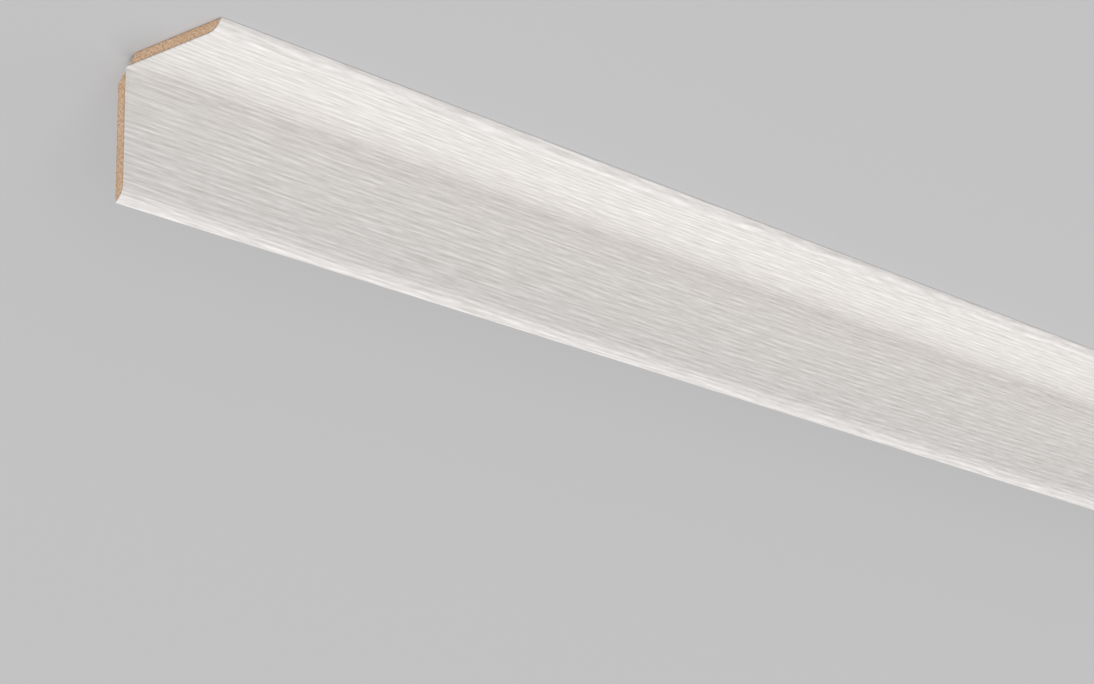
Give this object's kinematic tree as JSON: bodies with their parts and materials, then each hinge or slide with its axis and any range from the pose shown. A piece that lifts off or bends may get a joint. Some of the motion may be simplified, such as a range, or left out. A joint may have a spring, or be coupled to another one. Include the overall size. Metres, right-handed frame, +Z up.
{
  "type": "folding angle moulding",
  "caption": "Folding angle moulding: thin fibreboard legs joined at the crease only by the pale wood-grain foil that faces them; trims the inside corner where a wall meets a floor or ceiling.",
  "frame": {"origin": "bottom centre of the bounding box: mid-length, on the floor under the leg that lies flat", "axes": "+X along the stock, away from the cut end that the picture shows, +Y along the leg that lies flat, from the crease to its free edge, +Z up the standing leg"},
  "size_m": [2.4, 0.038, 0.038],
  "materials": {
    "fibreboard": "raw medium-density fibreboard, sawn ends and sanded back",
    "decor_foil": "satin printed foil, pale wood grain brushed along the length"
  },
  "bodies": {
    "standing_leg": {"upright_leg_core": "fibreboard", "decor_foil": "decor_foil"},
    "floor_leg": {"floor_leg_core": "fibreboard"}
  },
  "joints": [
    {"name": "fold", "type": "hinge", "parent": "standing_leg", "child": "floor_leg", "pos_m": [0, -0.016, 0.003], "axis": [-1, 0, 0], "range_deg": [-75, 178], "deforming": ["decor_foil"]}
  ]
}
